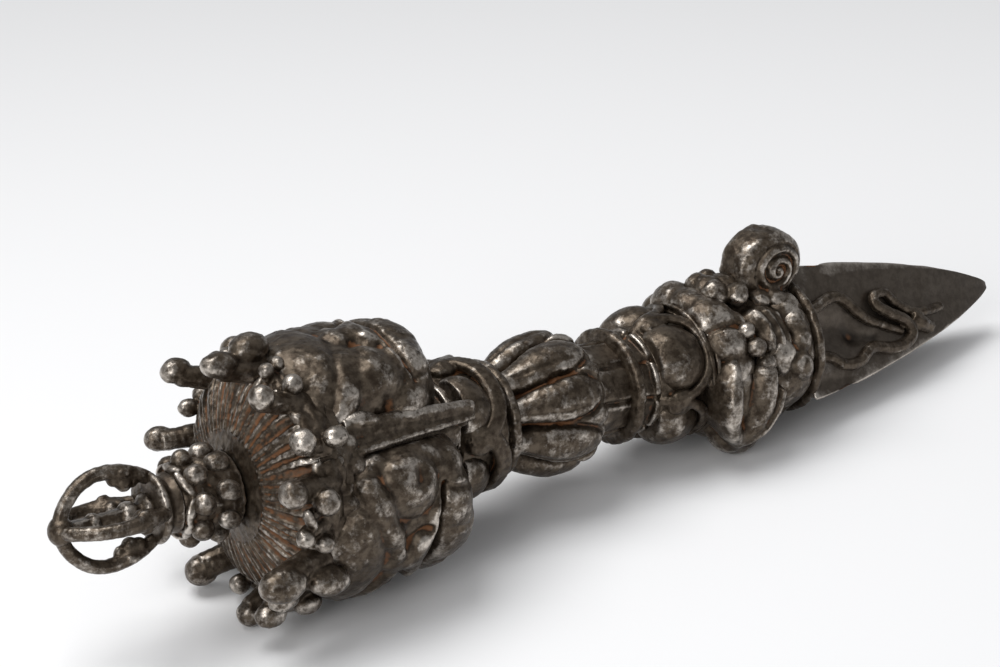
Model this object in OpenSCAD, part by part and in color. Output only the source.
// Three-edged ritual dagger with a half-vajra finial, built up on the blade's tang.
// Every sub-part is drawn on the dagger's own axis: z runs from the finial's tip to the blade's point,
// x points up and y points to the side. lay_down() then puts the dagger on its side, as it rests.

/* [Finial] */
// Length of the cage of prongs, from the tip to the cup
cage_len = 17; // [16:0.5:22]
// Greatest distance of a prong's centre from the axis
cage_r = 7.7; // [6:0.1:8.4]
// Radius of a prong
prong_r = 1.15; // [0.9:0.05:1.4]
// Thickness of the knobbly root that each prong swells to
prong_root_r = 1.9; // [1.4:0.1:2.1]
// Radius of the centre prong
centre_prong_r = 1.1; // [0.8:0.1:1.6]
// Radius of the finial's tip knob
tip_r = 2.3; // [2:0.1:3]
// Length of the cup that holds the prongs
cup_len = 4; // [4:0.25:6]
// Outer radius of the cup
cup_r = 5.8; // [5.4:0.1:7]

/* [Topknot] */
// Length of the topknot
topknot_len = 10; // [8:0.5:12]
// Radius of the topknot's body
topknot_r = 6.6; // [6:0.2:8]
// Number of beads in each ring of the topknot
topknot_beads_n = 8; // [6:1:9]
// Radius of a bead on the topknot
topknot_bead_r = 1.9; // [1.5:0.1:2.1]

/* [Hair cap] */
// Length of the hair cap
hair_len = 7; // [5:0.5:9]
// Radius of the hair cap at its rim
hair_r = 18.5; // [17:0.5:20]
// Number of ridges of combed hair
hair_ridges = 60; // [40:4:72]
// Height of a ridge of hair
hair_ridge_h = 0.7; // [0.3:0.1:1]

/* [Heads and crowns] */
// Length of the head block
head_len = 28.5; // [27:0.5:32]
// Radius of the head block that carries the three faces
head_block_r = 10.5; // [9:0.5:11]
// Distance from the axis to the front of a face
brow_r = 22.8; // [22:0.1:24]
// Width of a crown's band along the axis
crown_band_w = 5; // [4:0.5:6]
// Outer radius of a crown's band
crown_band_r = 19.5; // [18.5:0.25:20]
// Number of jewels in each crown
crown_jewels = 5; // [3:2:5]
// Radius of a side jewel
jewel_r = 2.1; // [1.6:0.1:2.4]
// Radius of a crown's middle jewel
middle_jewel_r = 2.8; // [2.4:0.1:3.1]
// Distance from the axis to the middle of a side jewel
jewel_ring_r = 21; // [20:0.25:21.5]
// Width of a ribbon at the crown
ribbon_w = 8.2; // [6:0.2:8.6]
// Width of a ribbon where it ends on the knot
ribbon_end_w = 3.4; // [2.6:0.2:4.4]
// Thickness of a ribbon
ribbon_t = 2.2; // [1.8:0.1:2.6]

/* [Knots] */
// Length of the domes and arches of a knot
knot_len = 12.8; // [11:0.2:15]
// Outer radius of a knot's straps
knot_r = 11.8; // [11:0.1:13]
// Half the thickness of a knot's strap
strap_r = 1.3; // [1:0.1:1.6]
// Radius of the ring beside a knot
knot_ring_r = 10.2; // [9.6:0.1:11]
// Length of the flat straps between the grip and the lower knot
neck_len = 5.2; // [4:0.2:8]
// Radius of the neck with the flat straps
neck_r = 8.2; // [7.6:0.1:9]

/* [Grip] */
// Length of the lotus grip
grip_len = 18.5; // [16:0.5:26]
// Greatest radius of the lotus grip
grip_r = 12.2; // [11:0.1:13]
// Radius of the lotus grip at its thin end
grip_waist_r = 8.4; // [7.6:0.1:9.4]
// Number of petals round the grip
petals = 8; // [6:1:10]

/* [Sea-monster head] */
// Length of the sea-monster head
makara_len = 26; // [24:0.5:30]
// Radius of the sea-monster head's body
makara_r = 12.6; // [11.5:0.1:13.5]
// Radius of the roll of the trunk
trunk_r = 6.6; // [5.6:0.1:7.2]
// Thickness of the roll of the trunk
trunk_w = 9; // [7:0.5:10]
// Distance from the axis to the top of the trunk
trunk_top_r = 22.6; // [21.8:0.1:24.6]
// Radius of the lobes behind the sea monster's head
lobe_r = 4; // [3.6:0.1:4.6]
// Distance from the axis to the outside of a jaw, which the dagger rests on
jaw_r = 17.7; // [16.8:0.1:18.5]
// Radius of the knob at the foot of a jaw
jaw_foot_r = 4.4; // [3.8:0.1:4.8]

/* [Blade and tang] */
// Length of the blade beyond the sea-monster's mouth
blade_len = 53.4; // [45:0.2:90]
// Distance from the axis to an edge at the blade's root
blade_edge_r = 14.6; // [12:0.2:15]
// Radius of the blade's blunt point
point_r = 0.6; // [0.4:0.1:1]
// Radius of the tang
tang_r = 2.5; // [2:0.1:3]
// Clearance between the tang and a bore
tang_clearance = 0.05; // [0.02:0.01:0.1]
// Radius of a serpent's body
serpent_r = 0.85; // [0.6:0.05:1]

/* [Hidden] */
$fn = 48;

// Stations along the axis, from the finial's tip
z_cup = cage_len;
z_topknot = z_cup + cup_len;
z_hair = z_topknot + topknot_len;
z_head = z_hair + hair_len;
z_upper_knot = z_head + head_len;
ring_len = 2 * strap_r;
z_upper_ring = z_upper_knot + knot_len;
z_grip = z_upper_ring + ring_len;
z_neck = z_grip + grip_len;
z_lower_ring = z_neck + neck_len;
z_lower_knot = z_lower_ring + ring_len;
z_makara = z_lower_knot + knot_len;
z_blade = z_makara + makara_len;
z_point = z_blade + blade_len;

// Angles of the three heads, blade edges and ribbons, from straight up
head_angles = [0, 120, 240];
ribbon_angles = [60, 300, 180];
jewel_step = 360 / (3 * crown_jewels);
dome_count = 4;
dome_r = 4.2;
dome_clearance = 0.15;
upper_dome_turn = 36;
lower_dome_turn = 52;

// Fits
tang_seat = 2.4;
peg_len = 1.7;
peg_clearance = 0.25;
prong_foot_r = cup_r - 2.1;
bore_r = tang_r + tang_clearance;
seat_gap = 0.1;
steel = [0.33, 0.3, 0.28];
dark_steel = [0.22, 0.19, 0.17];
worn_steel = [0.5, 0.47, 0.45];

// The dagger rests on the lowest side jewels of the crown and on the feet of the two jaws
crown_lap = 1.5;
z_crown = z_head - crown_lap;
rest_reach = 4;
z_jewel = z_crown - rest_reach;
z_jaw = z_makara + makara_len * 0.35;
jaw_foot_angle = 38;
jewel_drop = jewel_ring_r * cos(jewel_step / 2);
foot_drop = (jaw_r - jaw_foot_r) * cos(jaw_foot_angle);
drop = [jewel_drop - foot_drop, z_jewel - z_jaw];
rest_tilt = atan2(drop[1], drop[0]) + acos((jaw_foot_r - jewel_r) / norm(drop));
rest_h = jewel_drop * cos(rest_tilt) + z_jewel * sin(rest_tilt) + jewel_r;

// Puts the dagger on its side: the axis along +X, nose down by the rest tilt, over the origin.
module lay_down() {
    translate([-z_point * cos(rest_tilt) / 2, 0, rest_h])
        rotate([0, 90 + rest_tilt, 0]) rotate([0, 0, 180]) children();
}

// A point at distance r from the axis, turned by angle a from straight up, at station z.
function polar(r, a, z) = [r * cos(a), r * sin(a), z];
function unit(v) = v / norm(v);
function blend(a, b, t) = a + (b - a) * t;
function ease(t) = let(c = min(1, max(0, t))) c * c * (3 - 2 * c);

// A smooth curve through hand-set points, with a few steps between each two of them.
function curve_point(a, b, c, d, t) =
    0.5 * (2 * b + (c - a) * t + (2 * a - 5 * b + 4 * c - d) * t * t + (3 * b - a - 3 * c + d) * t * t * t);
function curve(p, steps) = let(n = len(p) - 1)
    [for (i = [0:n - 1], k = [0:steps - 1])
        curve_point(p[max(0, i - 1)], p[i], p[i + 1], p[min(n, i + 2)], k / steps), p[n]];

// Through-bore for the tang, between two stations.
module bore(z0, z1) {
    translate([0, 0, z0 - 1]) cylinder(r = bore_r, h = z1 - z0 + 2);
}

// A closed surface round the z axis from a grid of rings; each ring is a list of points.
module skin(rings) {
    n = len(rings[0]);
    m = len(rings);
    points = [for (ring = rings) for (p = ring) p];
    sides = [for (j = [0:m - 2]) for (i = [0:n - 1]) let(k = (i + 1) % n)
        each [[j * n + i, (j + 1) * n + i, j * n + k], [j * n + k, (j + 1) * n + i, (j + 1) * n + k]]];
    first = [for (i = [1:n - 2]) [0, i, i + 1]];
    last = [for (i = [1:n - 2]) [(m - 1) * n, (m - 1) * n + i + 1, (m - 1) * n + i]];
    polyhedron(points, concat(sides, first, last), convexity = 8);
}

// A tube through points. ups gives each ring's second axis; ra and rb are its half widths, as lists.
module tube(points, ups, ra, rb, sides = 6) {
    m = len(points);
    skin([for (i = [0:m - 1])
        let(t = unit(points[min(i + 1, m - 1)] - points[max(i - 1, 0)]),
            s = unit(cross(t, ups[i])),
            u = cross(t, s))
        [for (k = [0:sides - 1]) let(a = 360 * k / sides)
            points[i] + ra[i] * cos(a) * s + rb[i] * sin(a) * u]]);
}

// An ellipsoid with its own half sizes, taken as a mesh.
module pebble(at, half, turn = [0, 0, 0], detail = 16) {
    translate(at) rotate(turn) hull() scale(half) sphere(r = 1, $fn = detail);
}

// Finial

// Share of a prong's length at which its knobby root is thickest, and the turn of the four prongs
prong_knob = 0.72;
prong_turn = -12;

// One curved prong: a bulging arc from the tip, a knobby root and a peg that sits in the cup.
module prong(angle) {
    n = 18;
    swell = [for (i = [0:n])
        let(off = (i / n - prong_knob) / 0.13)
        prong_r + (prong_root_r - prong_r) * exp(-off * off)];
    path = [for (i = [0:n])
        let(t = i / n, bulge = pow(sin(171 * t), 0.62))
        [blend(blend(0.8, prong_foot_r, ease(t)), cage_r, bulge * (1 - 0.15 * t)) - 0.5 * (swell[i] - prong_r), 0,
         blend(tip_r * 0.9, cage_len + 0.6, t)]];
    color(worn_steel) rotate([0, 0, angle + prong_turn]) difference() {
        union() {
            tube(path, [for (p = path) [0, 1, 0]], swell, swell, 10);
            translate([prong_foot_r, 0, cage_len]) cylinder(r = prong_r - tang_clearance, h = peg_len);
        }
        finial_knob(seat_gap);
    }
}

// Rounded knob that the prongs meet in.
module finial_knob(gap = 0) {
    translate([0, 0, tip_r * 1.05]) sphere(r = tip_r + gap);
}

module finial_tip() {
    color(worn_steel) difference() {
        finial_knob();
        translate([0, 0, tip_r]) cylinder(r = centre_prong_r + tang_clearance, h = 2 * tip_r);
    }
}

module centre_prong() {
    color(steel) union() {
        translate([0, 0, tip_r]) cylinder(r = centre_prong_r, h = cage_len - tip_r + peg_len - seat_gap);
        translate([0, 0, cage_len * 0.45]) sphere(r = centre_prong_r + 0.5);
    }
}

// Cup with sockets for the prongs' pegs above and a blind bore for the tang below.
module finial_cup() {
    wall = 1.2;
    color(steel) difference() {
        rotate_extrude() polygon([[0, z_cup], [cup_r - wall, z_cup], [cup_r, z_cup + 0.5],
            [cup_r, z_cup + 1.2], [cup_r - 1.4, z_cup + cup_len * 0.6],
            [cup_r - 1, z_cup + cup_len], [0, z_cup + cup_len]]);
        for (a = [0:90:270])
            rotate([0, 0, a + prong_turn]) translate([prong_foot_r, 0, z_cup - 1])
                cylinder(r = prong_r + peg_clearance, h = 1 + peg_len + seat_gap);
        translate([0, 0, z_cup - 1]) cylinder(r = centre_prong_r + tang_clearance, h = 1 + peg_len);
        translate([0, 0, z_cup + tang_seat - 0.2]) cylinder(r = bore_r, h = cup_len);
    }
}

// Topknot

function topknot_ring_z(row) = z_topknot + topknot_len * (row == 0 ? 0.26 : 0.7);
function topknot_ring_r(row) = topknot_r - (row == 0 ? 0.6 : 0.1);
function topknot_turn(row) = row == 0 ? -13 : -25;

module topknot_bead_set(gap = 0) {
    for (row = [0, 1], i = [0:topknot_beads_n - 1])
        rotate([0, 0, topknot_turn(row) + i * 360 / topknot_beads_n])
            translate([topknot_ring_r(row), 0, topknot_ring_z(row)])
                sphere(r = topknot_bead_r + gap);
}

module topknot_beads() {
    color(worn_steel) topknot_bead_set();
}

module topknot() {
    color(steel) difference() {
        rotate_extrude() polygon([[0, z_topknot], [cup_r - 1, z_topknot],
            [topknot_r - 1.2, z_topknot + 1], [topknot_r - 0.6, z_topknot + topknot_len * 0.3],
            [topknot_r - 1.1, z_topknot + topknot_len * 0.46],
            [topknot_r, z_topknot + topknot_len * 0.72],
            [topknot_r + 0.3, z_hair], [0, z_hair]]);
        topknot_bead_set(tang_clearance);
        bore(z_topknot, z_hair);
    }
}

// Hair cap

// Radius of the hair's dome at a share t of its length.
function hair_profile(t) = blend(topknot_r + 0.3, hair_r, pow(sin(90 * t), 0.75));

module hair_cap() {
    steps = 5;
    sides = 2 * hair_ridges;
    color(dark_steel) difference() {
        skin([for (j = [0:steps]) let(t = j / steps, r = hair_profile(t))
            [for (i = [0:sides - 1])
                polar(r, 360 * i / sides,
                      z_hair + hair_len * t + (i % 2 == 0 ? 0 : hair_ridge_h * sin(180 * t)))]]);
        bore(z_hair, z_head);
    }
}

// Crowns

// How far each crown's jewels reach out towards the finial, from one side to the other
top_reach = [5.5, 5.5, 3.4, 3.6, 3.6];
front_reach = [2.6, 2.6, 3.4, 4, rest_reach];
back_reach = [rest_reach, 4, 3.4, 5.5, 5.5];

// One jewel: a finger that points to the finial and a round bead behind it, on a stem in the band.
module jewel(turn, r, reach, ring_r) {
    rotate([0, 0, turn]) {
        translate([ring_r, 0, z_crown - reach]) sphere(r = r);
        translate([ring_r, 0, z_crown - reach]) cylinder(r = r * 0.86, h = reach + 1.5);
        translate([ring_r - 0.4, 0, z_crown + 4.1]) sphere(r = r * 0.95);
        translate([crown_band_r - 2, 0, z_crown + 1]) rotate([0, 90, 0])
            cylinder(r = r * 0.6, h = ring_r - crown_band_r + 2);
    }
}

// The middle jewel: a long bean on the band, with a finger on each side of it.
module middle_jewel(reach) {
    finger_r = jewel_r * 0.8;
    translate([jewel_ring_r + 0.3, 0, z_crown - reach]) {
        sphere(r = middle_jewel_r);
        cylinder(r = middle_jewel_r, h = reach + 1);
        translate([0, 0, reach + 1]) sphere(r = middle_jewel_r);
    }
    for (s = [-1, 1]) rotate([0, 0, s * jewel_step * 0.42])
        translate([jewel_ring_r - 0.8, 0, z_crown - reach - 2.6]) {
            sphere(r = finger_r);
            cylinder(r = finger_r, h = reach + 4);
        }
}

// Band over one third of the circle with its row of jewels.
module crown(angle, reach) {
    half_row = (crown_jewels - 1) / 2;
    arc = 120 - 4;
    color(worn_steel) rotate([0, 0, angle]) difference() {
        union() {
            rotate([0, 0, -arc / 2]) rotate_extrude(angle = arc)
                translate([hair_r + seat_gap, z_crown - 0.5])
                    square([crown_band_r - hair_r, crown_band_w]);
            for (k = [-half_row:half_row])
                if (k == 0) middle_jewel(reach[2]);
                else jewel(k * jewel_step, jewel_r, reach[k + 2], jewel_ring_r);
        }
        translate([0, 0, z_hair - 8]) cylinder(r = hair_r + seat_gap, h = 40);
    }
}

// Heads

z_face = z_head + crown_band_w;
face_len = z_upper_knot - z_face;

module head_block() {
    color(dark_steel) difference() {
        union() {
            translate([0, 0, z_head]) cylinder(r = hair_r, h = crown_band_w);
            translate([0, 0, z_face - 1]) cylinder(r = head_block_r, h = face_len + 1);
        }
        bore(z_head, z_upper_knot);
    }
}

// A face is set out in equal parts: outward, from the head block to its front, and down its length.
face_parts = 12.3;
face_steps = 23.5;
face_part = (brow_r - head_block_r) / face_parts;
face_step = face_len / face_steps;

// A pebble of a face, in parts: d below the face's front, side to the side, at a share t of the way
// from crown to chin.
module feature(d, side, t, half, turn = [0, 0, 0], detail = 12) {
    pebble([brow_r - d * face_part, side * face_part, z_face + face_len * t],
           [half[0] * face_part, half[1] * face_part, half[2] * face_step], turn, detail);
}

// A fierce guardian's face, from its forehead at the crown to its chin at the knot.
module face(angle) {
    color(steel) rotate([0, 0, angle]) difference() {
        intersection() {
            union() {
                feature(9.8, 0, 0.3, [9.4, 10.6, 9.6], detail = 20);
                feature(10.6, 0, 0.62, [8.4, 9.8, 8.2], detail = 20);
                feature(3.2, 0, 0.14, [3.4, 4.2, 4.4]);
                feature(1.8, 0, 0.38, [2, 2.3, 3.6]);
                feature(5.2, 0, 0.76, [3.6, 6.6, 3.4]);
                for (s = [-1, 1]) {
                    feature(4.9, s * 5.8, 0.16, [3.8, 4.6, 3.8]);
                    feature(3.1, s * 4.6, 0.33, [1.7, 4, 1.6], [s * 20, 0, 0]);
                    feature(5.4, s * 6, 0.47, [3.2, 3.6, 3.1]);
                    feature(2.6, s * 2.4, 0.5, [1.9, 1.9, 1.9]);
                    feature(10.2, s * 8.4, 0.56, [4.2, 3.8, 4.8]);
                    feature(2.5, s * 3.2, 0.66, [1.7, 3.8, 1.3], [s * -16, 0, 0]);
                    feature(2.2, s * 4.4, 0.74, [0.9, 0.8, 1.8]);
                }
            }
            translate([0, 0, z_face]) linear_extrude(face_len - seat_gap)
                polygon([[4, 0], polar2(40, -54), polar2(40, 0), polar2(40, 54)]);
        }
        translate([0, 0, z_head - 1]) cylinder(r = head_block_r + seat_gap, h = head_len + 2, $fn = 64);
        for (s = [-1, 1]) rotate([0, 0, s * 60]) ribbon_form(seat_gap);
        feature(3.2, 0, 0.72, [3, 4, 1.3], detail = 16);
    }
}

function polar2(r, a) = [r * cos(a), r * sin(a)];

// Stations of a ribbon's two ends, and how deep its crown end lies between the faces
z_ribbon = z_face + 1.4;
z_ribbon_end = z_upper_knot + 1.5;
ribbon_depth = 8.7;
ribbon_at_r = brow_r - ribbon_depth;

// Tapered band between two heads, from the crown down to the knot.
module ribbon_form(gap = 0) {
    hull() {
        for (s = [-1, 1]) {
            translate([ribbon_at_r, s * (ribbon_w / 2 - 1), z_ribbon])
                sphere(r = ribbon_t / 2 + gap, $fn = 12);
            translate([knot_r + ribbon_t / 2 + 0.3, s * (ribbon_end_w / 2 - 1), z_ribbon_end])
                sphere(r = ribbon_t / 2 + gap, $fn = 12);
        }
        translate([head_block_r + 1.4, 0, z_ribbon]) sphere(r = 1 + gap, $fn = 12);
    }
}

// Ribbon with a raised cord along each edge.
module ribbon(angle) {
    rim = ribbon_t / 2 + 0.3;
    color(steel) rotate([0, 0, angle]) difference() {
        union() {
            ribbon_form();
            for (s = [-1, 1]) hull() {
                translate([ribbon_at_r + 0.4, s * (ribbon_w / 2 - 1), z_ribbon + 0.4])
                    sphere(r = rim, $fn = 12);
                translate([knot_r + ribbon_t / 2 + 0.6, s * (ribbon_end_w / 2 - 0.9), z_ribbon_end])
                    sphere(r = rim - 0.2, $fn = 12);
            }
        }
        translate([0, 0, z_head - 1]) cylinder(r = head_block_r + seat_gap, h = head_len + 1, $fn = 64);
        translate([0, 0, z_upper_knot - seat_gap])
            cylinder(r = strap_path_r + strap_r + seat_gap, h = knot_len, $fn = 64);
        translate([0, 0, z_head]) cylinder(r = 30, h = crown_band_w);
    }
}

// Knots

knot_core_r = knot_r - 2 * strap_r;
strap_path_r = knot_core_r + seat_gap + strap_r;

// A dome's middle, and the flat floor of its pocket in the barrel
dome_at_r = knot_r - dome_r - 0.3;
dome_floor_r = dome_at_r - dome_r * 0.43;

// Puts what is drawn along z, from the axis outward, where each of a knot's domes is.
module at_domes(z0, turn) {
    for (k = [0:dome_count - 1])
        rotate([0, 0, turn + k * 360 / dome_count])
            translate([0, 0, z0 + knot_len * 0.44]) rotate([0, 90, 0]) children();
}

// Barrel inside a knot, with round pockets for its domes.
module knot_core(z0, turn) {
    difference() {
        translate([0, 0, z0]) cylinder(r = knot_core_r, h = knot_len);
        at_domes(z0, turn) translate([0, 0, dome_floor_r])
            cylinder(r = dome_r + dome_clearance, h = knot_r);
        bore(z0, z0 + knot_len);
    }
}

// Domes that show through a knot's arches, each with a flat foot in its pocket.
module knot_domes(z0, turn) {
    color(worn_steel) at_domes(z0, turn) difference() {
        translate([0, 0, dome_at_r]) sphere(r = dome_r);
        cylinder(r = knot_r, h = dome_floor_r + seat_gap);
    }
}

// Straps that arch round the domes, closed towards the blade.
module knot_straps(z0, turn) {
    steps = 12;
    half = 180 / dome_count;
    rise = knot_len - 2 * strap_r - seat_gap;
    color(steel) for (k = [0:dome_count - 1]) {
        path = [for (i = [0:steps])
            let(s = 2 * i / steps - 1,
                a = turn + k * 360 / dome_count + half * 1.03 * s,
                arch = sqrt(1 - pow(abs(s) * 0.98, 2.6)))
            polar(strap_path_r, a, z0 + strap_r + rise * arch)];
        tube(path, [for (p = path) [p[0], p[1], 0]],
             [for (p = path) strap_r * 0.95], [for (p = path) strap_r], 8);
    }
}

// Ring beside a knot.
module knot_ring(z0) {
    color(steel) difference() {
        union() {
            translate([0, 0, z0 + strap_r]) rotate_extrude()
                translate([knot_ring_r - strap_r, 0]) circle(r = strap_r, $fn = 32);
            translate([0, 0, z0]) cylinder(r = knot_ring_r - strap_r, h = ring_len);
        }
        bore(z0, z0 + ring_len);
    }
}

// Neck with flat straps, between the grip and the lower knot's ring.
module lower_knot_core() {
    color(dark_steel) {
        knot_core(z_lower_knot, lower_dome_turn);
        difference() {
            translate([0, 0, z_neck]) rotate([0, 0, 15]) cylinder(r = neck_r, h = neck_len, $fn = 6);
            bore(z_neck, z_lower_ring);
        }
    }
}

module upper_knot_core() {
    color(dark_steel) knot_core(z_upper_knot, upper_dome_turn);
}

// Grip

// Radius of the grip's main outline at a share t of its length.
function grip_profile(t) =
    t < 0.68 ? blend(grip_waist_r, grip_r, ease(t / 0.68))
             : blend(grip_r, neck_r + 0.6, pow((t - 0.68) / 0.32, 1.9));

// Share of a petal's half angle that it covers at a share t of the grip's length.
function petal_width(t) = t < 0.62 ? 1 : sqrt(max(0, 1 - pow((t - 0.62) / 0.36, 2)));

// Surface of the grip: swelling petals, with the sepals' tips between them near the blade's end.
function grip_surface(t, a) =
    let(step = 360 / petals,
        off = abs(((a % step) + step) % step - step / 2) / (step / 2),
        share = max(0.01, petal_width(t)),
        inside = off < share)
    grip_profile(t) - 1.5 + (inside ? 0.25 + 1.25 * sqrt(1 - pow(off / share, 2)) : 0.35);

module lotus_grip() {
    steps = 16;
    sides = petals * 8;
    color(steel) difference() {
        skin([for (j = [0:steps]) let(t = j / steps)
            [for (i = [0:sides - 1]) let(a = 360 * i / sides)
                polar(grip_surface(t, a), a, z_grip + grip_len * t)]]);
        bore(z_grip, z_neck);
    }
}

// Sea-monster head

collar_len = 3;
mouth_rim_len = 2;
z_mouth = z_blade - mouth_rim_len;

module makara_head() {
    color(steel) difference() {
        union() {
            rotate_extrude() polygon([[0, z_makara + collar_len], [makara_r - 1, z_makara + collar_len],
                [makara_r, z_makara + collar_len + 1.5], [makara_r, z_makara + makara_len * 0.3],
                [makara_r - 0.8, z_makara + makara_len * 0.45],
                [makara_r - 0.4, z_makara + makara_len * 0.7],
                [makara_r - 0.8, z_mouth], [0, z_mouth]]);
            makara_lobes();
        }
        bore(z_makara, z_blade);
    }
}

// Swelling lobes behind the head, next to the collar.
module makara_lobes(gap = 0) {
    for (s = [-1, 1], a = [22, 52])
        rotate([0, 0, s * a]) translate([makara_r - 3, 0, z_makara + collar_len + lobe_r])
            sphere(r = lobe_r + gap);
}

// Body that the jaws are fitted over, and with its lobes what the trunk, snout, eyes and cheeks are.
module makara_barrel() {
    translate([0, 0, z_makara - 1]) cylinder(r = makara_r + seat_gap, h = makara_len + 2, $fn = 64);
}

module makara_seat() {
    makara_barrel();
    makara_lobes(seat_gap);
}

module makara_collar() {
    bead = collar_len / 4;
    color(steel) difference() {
        union() {
            translate([0, 0, z_makara]) cylinder(r = makara_r - 1.4, h = collar_len);
            for (k = [1, 3]) translate([0, 0, z_makara + k * bead]) rotate_extrude()
                translate([makara_r - 1.4, 0]) circle(r = bead, $fn = 32);
        }
        bore(z_makara, z_makara + collar_len);
    }
}

// Middle of the trunk's roll
trunk_at = [trunk_top_r - trunk_r, 0, z_makara + makara_len * 0.74];

// Rolled trunk on top: a rounded roll, a spiral ridge on each side of it, and its root.
trunk_round = 1.4;
module makara_trunk() {
    turns = 1.6;
    steps = 26;
    color(steel) difference() {
        union() {
            translate(trunk_at) rotate([90, 0, 0]) hull() {
                cylinder(r = trunk_r - trunk_round, h = trunk_w, center = true, $fn = 32);
                cylinder(r = trunk_r, h = trunk_w - 2 * trunk_round, center = true, $fn = 32);
            }
            for (s = [-1, 1]) {
                path = [for (i = [0:steps])
                    let(t = i / steps, a = 150 - 360 * turns * t, r = blend(trunk_r - 1.6, 0.9, t))
                    trunk_at + [r * cos(a), s * (trunk_w / 2 - 0.1), r * sin(a)]];
                tube(path, [for (p = path) [0, 1, 0]], [for (p = path) 0.55], [for (p = path) 0.6], 6);
            }
            hull() {
                translate(trunk_at + [-2, 0, 3]) scale([4, 4.4, 4]) sphere(r = 1, $fn = 20);
                translate([makara_r - 1, 0, z_mouth - 1.5]) scale([3, 4.8, 3]) sphere(r = 1, $fn = 20);
            }
            hull() {
                translate(trunk_at + [-2, 0, -2]) scale([4, 4.2, 4]) sphere(r = 1, $fn = 20);
                translate([makara_r, 0, trunk_at[2] - 6]) scale([2.2, 4, 3.6]) sphere(r = 1, $fn = 20);
            }
        }
        makara_seat();
        translate([0, 0, z_mouth]) cylinder(r = 60, h = 20);
    }
}

snout_r = 2.7;
nostril_r = 2;
module makara_snout() {
    z = trunk_at[2] - trunk_r - 1.4;
    color(worn_steel) difference() {
        union() {
            translate([makara_r + snout_r - 0.3, 0, z]) sphere(r = snout_r);
            for (s = [-1, 1])
                translate([makara_r + nostril_r - 0.4, s * (snout_r + 1.1), z + 1]) sphere(r = nostril_r);
        }
        makara_seat();
        translate(trunk_at) rotate([90, 0, 0]) cylinder(r = trunk_r + seat_gap, h = 20, center = true);
        hull() {
            translate(trunk_at + [-2, 0, -2]) scale([4.1, 4.3, 4.1]) sphere(r = 1, $fn = 20);
            translate([makara_r, 0, trunk_at[2] - 6]) scale([2.3, 4.1, 3.7]) sphere(r = 1, $fn = 20);
        }
    }
}

// Three beads down each side of the head.
eye_r = 2.1;
module makara_eyes() {
    color(worn_steel) difference() {
        for (s = [-1, 1], k = [0:2])
            rotate([0, 0, s * (40 + 19 * k)])
                translate([makara_r + 0.1, 0, z_makara + makara_len * 0.44 + 1.7 * k])
                    sphere(r = eye_r - 0.15 * k);
        makara_seat();
    }
}

// Two swellings on each side, between the eyes and the mouth.
cheek_r = 4.3;
module makara_cheeks() {
    color(steel) difference() {
        for (s = [-1, 1], k = [0:1])
            rotate([0, 0, s * (50 + 34 * k)])
                translate([makara_r - 1.6, 0, z_makara + makara_len * 0.76 + 0.6 * k])
                    sphere(r = cheek_r);
        makara_seat();
        translate([0, 0, z_mouth]) cylinder(r = 60, h = 20);
    }
}

// One jaw: a strap that runs down the side, turns under and comes back, with a knob at its foot.
module makara_jaw(side) {
    steps = 24;
    rise = jaw_r - makara_r;
    path = [for (i = [0:steps])
        let(t = i / steps)
        polar(makara_r + rise / 2 - 0.6, side * (96 + 44 * pow(sin(180 * t), 0.55)),
              z_jaw - 4.6 * cos(180 * t))];
    color(steel) difference() {
        union() {
            tube(path, [for (p = path) [p[0], p[1], 0]],
                 [for (i = [0:steps]) blend(2, 1.5, i / steps)], [for (p = path) rise / 2 + 0.6], 8);
            pebble(polar(jaw_r - jaw_foot_r, side * (180 - jaw_foot_angle), z_jaw),
                   [jaw_foot_r, jaw_foot_r, jaw_foot_r], detail = 24);
        }
        makara_barrel();
    }
}

module makara_mouth_rim() {
    rim = mouth_rim_len / 2;
    color(steel) difference() {
        union() {
            translate([0, 0, z_mouth + rim]) rotate_extrude()
                translate([makara_r + 0.4, 0]) circle(r = rim, $fn = 32);
            translate([0, 0, z_mouth]) cylinder(r = makara_r + 0.4, h = mouth_rim_len);
        }
        bore(z_mouth, z_blade);
    }
}

// Blade

// Distance from the axis to an edge at a share t of the blade's length: nearly straight, then rounded.
function edge_r(t) = point_r + (blade_edge_r - point_r) * pow(1 - pow(t, 1.35), 0.8);

// Section of the blade: three edges with hollow faces between them.
function blade_section(r, a) =
    let(off = abs(((a % 120) + 180) % 120 - 60),
        flat = 0.5 / cos(60 - off))
    r * min(0.97, flat * (1 - 0.1 * sin(1.5 * off)));

module blade_form() {
    steps = 13;
    sides = 36;
    skin([for (j = [0:steps]) let(t = sin(90 * j / steps), r = edge_r(t))
        [for (i = [0:sides - 1]) let(a = 360 * i / sides)
            polar(blade_section(r, a), a, z_blade + blade_len * t)]]);
}

module blade() {
    color(dark_steel) union() {
        blade_form();
        translate([0, 0, z_cup + tang_seat]) cylinder(r = tang_r, h = z_blade - z_cup);
    }
}

// Ways of the two serpents over a face: across it, along it from the mouth, and height over the face
upper_serpent = [[3.3, 1, 0.2], [3.6, 5, 0.2], [4.5, 11.5, 0.2], [1.8, 16, 0.2], [-1.3, 19.5, 0],
                 [-3.4, 22, 0]];
lower_serpent = [[-5.5, 3.8, 0], [-7.2, 10.5, 0], [-4.2, 16.5, 0.2], [-6, 22.5, 0.2], [-4.6, 26.6, 0.4],
                 [-0.7, 24.5, 1], [2.1, 20.6, 1.2], [3.9, 19.4, 0.8], [4.1, 23.4, 0.4], [2.4, 26, 0.4],
                 [1, 29, 0.2], [0.6, 32.4, 0.2], [-0.9, 34.8, 0.2], [-0.1, 37.4, 0.2]];
serpent_face = [[-1.4, 28.4, 0.3], [-2.6, 31.2, 0.5], [-4.1, 33.2, 0.3]];

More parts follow.
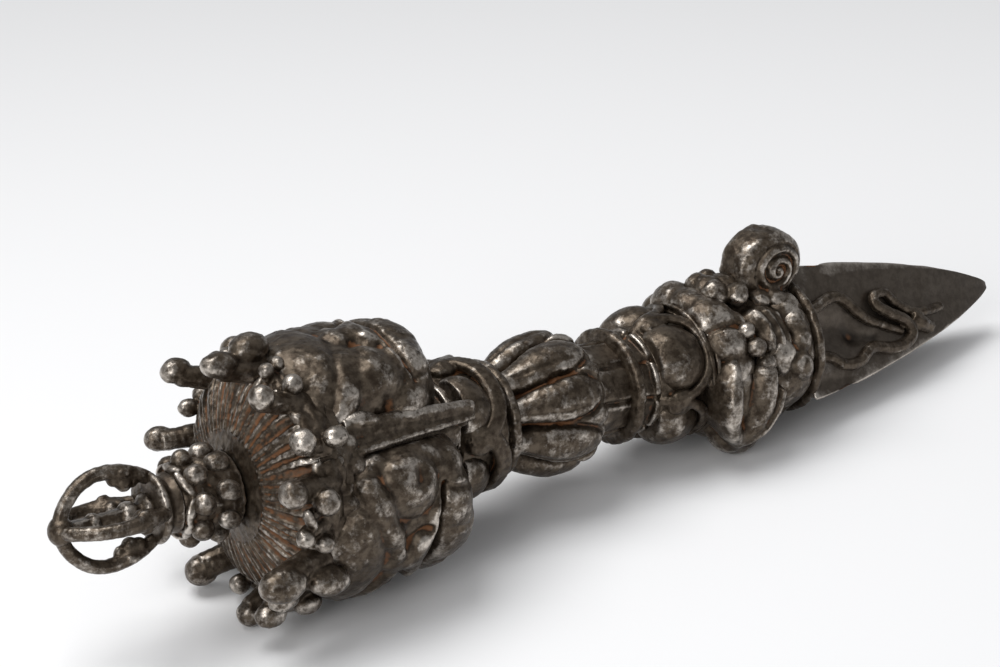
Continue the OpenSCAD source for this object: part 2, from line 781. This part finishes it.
// Point of a serpent's way on the face: the face falls towards the axis as the blade narrows.
function on_face(p) = [edge_r(p[1] / blade_len) * 0.45 + serpent_r * 0.6 + p[2], p[0], z_blade + p[1]];

module serpent_tube(way, swell) {
    path = [for (p = curve(way, 3)) on_face(p)];
    tube(path, [for (p = path) [1, 0, 0]], [for (p = path) serpent_r * swell],
         [for (p = path) serpent_r * swell], 5);
}

// Two entwined serpents on the face between two edges, with the head of one of them.
module serpents(angle) {
    color(steel) difference() {
        rotate([0, 0, angle]) {
            serpent_tube(upper_serpent, 1);
            serpent_tube(lower_serpent, 1);
            serpent_tube(serpent_face, 1.7);
        }
        blade_form();
    }
}

lay_down() blade();
lay_down() serpents(60);  // serpents_top
lay_down() serpents(180);  // serpents_front
lay_down() serpents(300);  // serpents_back
lay_down() makara_head();
lay_down() makara_collar();
lay_down() makara_trunk();
lay_down() makara_snout();
lay_down() makara_eyes();
lay_down() makara_cheeks();
lay_down() makara_jaw(1);  // makara_jaw_front
lay_down() makara_jaw(-1);  // makara_jaw_back
lay_down() makara_mouth_rim();
lay_down() lower_knot_core();
lay_down() knot_ring(z_lower_ring);  // lower_knot_ring
lay_down() knot_domes(z_lower_knot, lower_dome_turn);  // lower_knot_domes
lay_down() knot_straps(z_lower_knot, lower_dome_turn);  // lower_knot_straps
lay_down() lotus_grip();
lay_down() upper_knot_core();
lay_down() knot_ring(z_upper_ring);  // upper_knot_ring
lay_down() knot_domes(z_upper_knot, upper_dome_turn);  // upper_knot_domes
lay_down() knot_straps(z_upper_knot, upper_dome_turn);  // upper_knot_straps
lay_down() head_block();
lay_down() face(head_angles[0]);  // face_top
lay_down() face(head_angles[1]);  // face_front
lay_down() face(head_angles[2]);  // face_back
lay_down() ribbon(ribbon_angles[0]);  // ribbon_front
lay_down() ribbon(ribbon_angles[1]);  // ribbon_back
lay_down() ribbon(ribbon_angles[2]);  // ribbon_under
lay_down() crown(head_angles[0], top_reach);  // crown_top
lay_down() crown(head_angles[1], front_reach);  // crown_front
lay_down() crown(head_angles[2], back_reach);  // crown_back
lay_down() hair_cap();
lay_down() topknot();
lay_down() topknot_beads();
lay_down() finial_cup();
lay_down() centre_prong();
lay_down() prong(0);  // prong_top
lay_down() prong(90);  // prong_front
lay_down() prong(180);  // prong_under
lay_down() prong(270);  // prong_back
lay_down() finial_tip();
